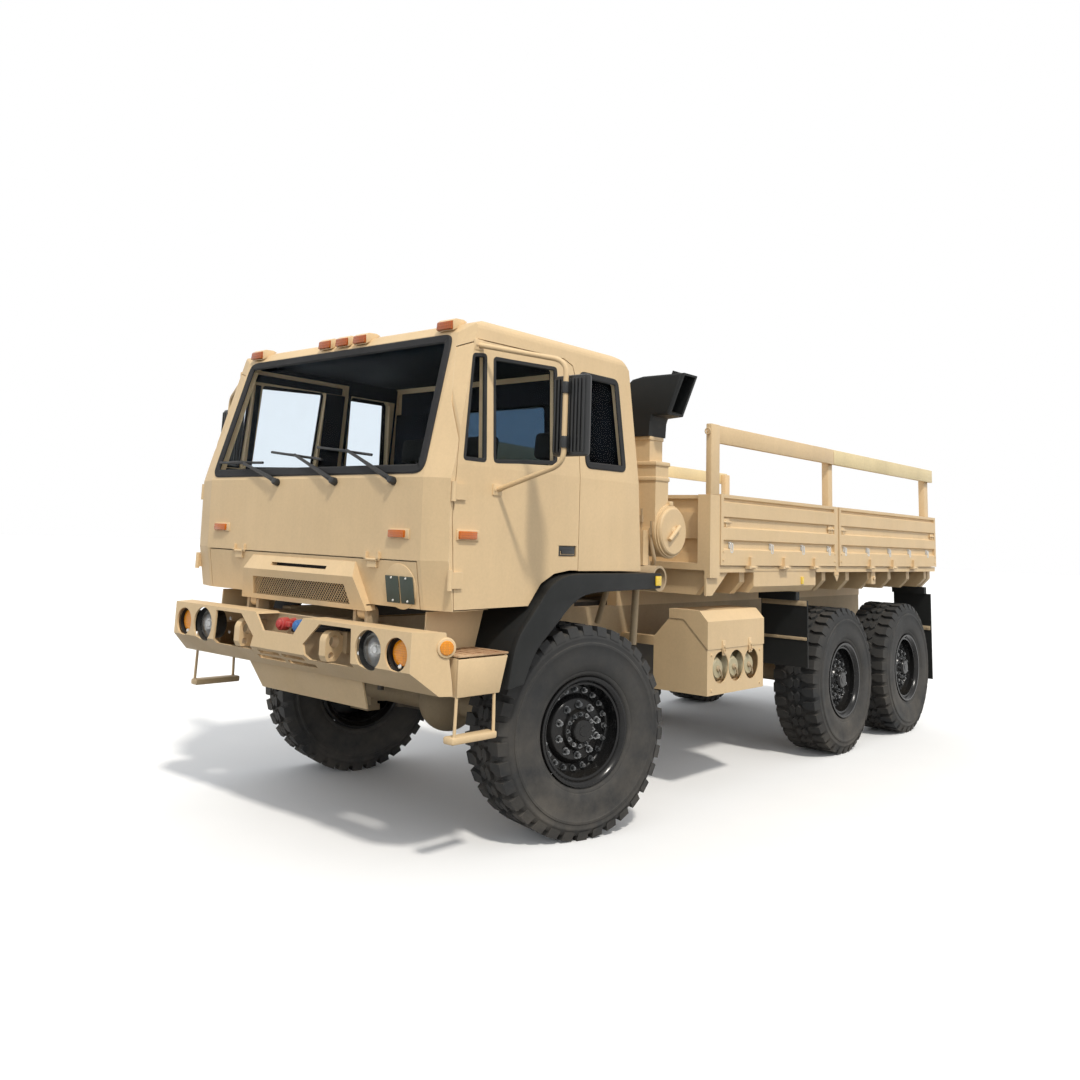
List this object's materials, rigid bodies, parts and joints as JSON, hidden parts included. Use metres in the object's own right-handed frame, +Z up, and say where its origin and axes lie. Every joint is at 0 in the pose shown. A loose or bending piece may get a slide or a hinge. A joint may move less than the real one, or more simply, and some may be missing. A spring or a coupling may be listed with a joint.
{
  "type": "military cargo truck",
  "caption": "Desert-tan military cargo truck with a tilting forward cab, a drop-sided bed with racks and driven axles on large cross-country tyres.",
  "frame": {"origin": "on the ground under the middle of the truck's box", "axes": "+X forward, +Y to the truck's left, +Z up"},
  "size_m": [7.03, 3.342, 2.8119],
  "materials": {
    "desert_tan": null,
    "black_paint": null,
    "tyre_rubber": null,
    "black_rubber": null,
    "window_glass": null,
    "amber_lens": null,
    "lamp_glass": null,
    "tail_lens": null,
    "dark_steel": null,
    "cabin_plastic": null,
    "seat_cloth": null
  },
  "bodies": {
    "chassis": {"frame_rails": "desert_tan", "crossmembers": "desert_tan", "cab_mounts": "desert_tan", "engine_block": "dark_steel", "leaf_springs": "dark_steel", "front_axle": "desert_tan", "tandem_axles": "desert_tan", "driveline": "dark_steel", "front_bumper": "desert_tan", "bumper_lamps": "lamp_glass", "tow_hooks": "desert_tan", "cab_steps": "desert_tan", "fender_flares": "black_rubber", "air_intake": "desert_tan", "intake_hood": "black_rubber", "battery_box": "desert_tan", "battery_lid": "desert_tan", "air_tanks": "desert_tan", "fuel_tank": "desert_tan", "toolbox": "desert_tan", "bed_deck": "desert_tan", "headboard": "desert_tan", "side_racks": "desert_tan", "mudflaps": "black_rubber", "tail_lamps": "tail_lens"},
    "cab": {"cab_shell": "desert_tan", "cab_glass": "window_glass", "cab_lamps": "amber_lens", "dashboard": "cabin_plastic", "steering_wheel": "cabin_plastic", "seats": "seat_cloth"},
    "front_panel": {"grille_panel": "desert_tan"},
    "door_left": {"door_left": "desert_tan", "door_left_glass": "window_glass", "door_left_lamp": "amber_lens", "mirror_left": "black_paint"},
    "door_right": {"door_right": "desert_tan", "door_right_glass": "window_glass", "door_right_lamp": "amber_lens", "mirror_right": "black_paint"},
    "dropside_front_left": {"dropside_front_left": "desert_tan"},
    "dropside_front_right": {"dropside_front_right": "desert_tan"},
    "dropside_rear_left": {"dropside_rear_left": "desert_tan"},
    "dropside_rear_right": {"dropside_rear_right": "desert_tan"},
    "tailgate": {"tailgate": "desert_tan"},
    "knuckle_left": {"knuckle_left": "desert_tan"},
    "knuckle_right": {"knuckle_right": "desert_tan"},
    "tie_rod": {"tie_rod": "desert_tan"},
    "wheel_front_left": {"tyre_front_left": "tyre_rubber", "rim_front_left": "black_paint"},
    "wheel_front_right": {"tyre_front_right": "tyre_rubber", "rim_front_right": "black_paint"},
    "wheel_middle_left": {"tyre_middle_left": "tyre_rubber", "rim_middle_left": "black_paint"},
    "wheel_middle_right": {"tyre_middle_right": "tyre_rubber", "rim_middle_right": "black_paint"},
    "wheel_rear_left": {"tyre_rear_left": "tyre_rubber", "rim_rear_left": "black_paint"},
    "wheel_rear_right": {"tyre_rear_right": "tyre_rubber", "rim_rear_right": "black_paint"}
  },
  "joints": [
    {"name": "cab_tilt", "type": "hinge", "parent": "chassis", "child": "cab", "pos_m": [3.315, 0, 1.215], "axis": [0, 1, 0], "range_deg": [0, 50]},
    {"name": "panel_hinge", "type": "hinge", "parent": "cab", "child": "front_panel", "pos_m": [3.4, 0, 1.5], "axis": [0, -1, 0], "range_deg": [0, 90]},
    {"name": "door_left_hinge", "type": "hinge", "parent": "cab", "child": "door_left", "pos_m": [3.349, 1.16, 1.64], "axis": [0, 0, -1], "range_deg": [0, 70]},
    {"name": "door_right_hinge", "type": "hinge", "parent": "cab", "child": "door_right", "pos_m": [3.349, -1.16, 1.64], "axis": [0, 0, 1], "range_deg": [0, 70]},
    {"name": "dropside_front_left_hinge", "type": "hinge", "parent": "chassis", "child": "dropside_front_left", "pos_m": [-0.127, 1.23, 1.492], "axis": [-1, 0, 0], "range_deg": [0, 175]},
    {"name": "dropside_front_right_hinge", "type": "hinge", "parent": "chassis", "child": "dropside_front_right", "pos_m": [-0.127, -1.23, 1.492], "axis": [1, 0, 0], "range_deg": [0, 175]},
    {"name": "dropside_rear_left_hinge", "type": "hinge", "parent": "chassis", "child": "dropside_rear_left", "pos_m": [-2.291, 1.23, 1.492], "axis": [-1, 0, 0], "range_deg": [0, 175]},
    {"name": "dropside_rear_right_hinge", "type": "hinge", "parent": "chassis", "child": "dropside_rear_right", "pos_m": [-2.291, -1.23, 1.492], "axis": [1, 0, 0], "range_deg": [0, 175]},
    {"name": "tailgate_hinge", "type": "hinge", "parent": "chassis", "child": "tailgate", "pos_m": [-3.503, 0, 1.492], "axis": [0, -1, 0], "range_deg": [0, 175]},
    {"name": "steer_left", "type": "hinge", "parent": "chassis", "child": "knuckle_left", "pos_m": [2.165, 0.86, 0.58], "axis": [0, 0, 1], "range_deg": [-17, 47]},
    {"name": "steer_right", "type": "hinge", "parent": "chassis", "child": "knuckle_right", "pos_m": [2.165, -0.86, 0.58], "axis": [0, 0, 1], "range_deg": [-17, 47]},
    {"name": "tie_rod_joint", "type": "hinge", "parent": "knuckle_left", "child": "tie_rod", "pos_m": [1.88574, 0.84165, 0.449], "axis": [0, 0, 1], "range_deg": [-52.6, 19.1]},
    {"name": "spin_front_left", "type": "hinge", "parent": "knuckle_left", "child": "wheel_front_left", "pos_m": [2.20771, 1.01938, 0.58], "axis": [0.2588, 0.9659, 0], "continuous": true},
    {"name": "spin_front_right", "type": "hinge", "parent": "knuckle_right", "child": "wheel_front_right", "pos_m": [2.12229, -1.01938, 0.58], "axis": [0.2588, 0.9659, 0], "continuous": true},
    {"name": "spin_middle_left", "type": "hinge", "parent": "chassis", "child": "wheel_middle_left", "pos_m": [-1.235, 1.025, 0.58], "axis": [0, 1, 0], "continuous": true},
    {"name": "spin_middle_right", "type": "hinge", "parent": "chassis", "child": "wheel_middle_right", "pos_m": [-1.235, -1.025, 0.58], "axis": [0, 1, 0], "continuous": true},
    {"name": "spin_rear_left", "type": "hinge", "parent": "chassis", "child": "wheel_rear_left", "pos_m": [-2.635, 1.025, 0.58], "axis": [0, 1, 0], "continuous": true},
    {"name": "spin_rear_right", "type": "hinge", "parent": "chassis", "child": "wheel_rear_right", "pos_m": [-2.635, -1.025, 0.58], "axis": [0, 1, 0], "continuous": true}
  ],
  "couplings": [
    {"joint": "steer_right", "follows": "steer_left", "ratio": 1},
    {"joint": "tie_rod_joint", "follows": "steer_left", "ratio": -1.1165}
  ]
}
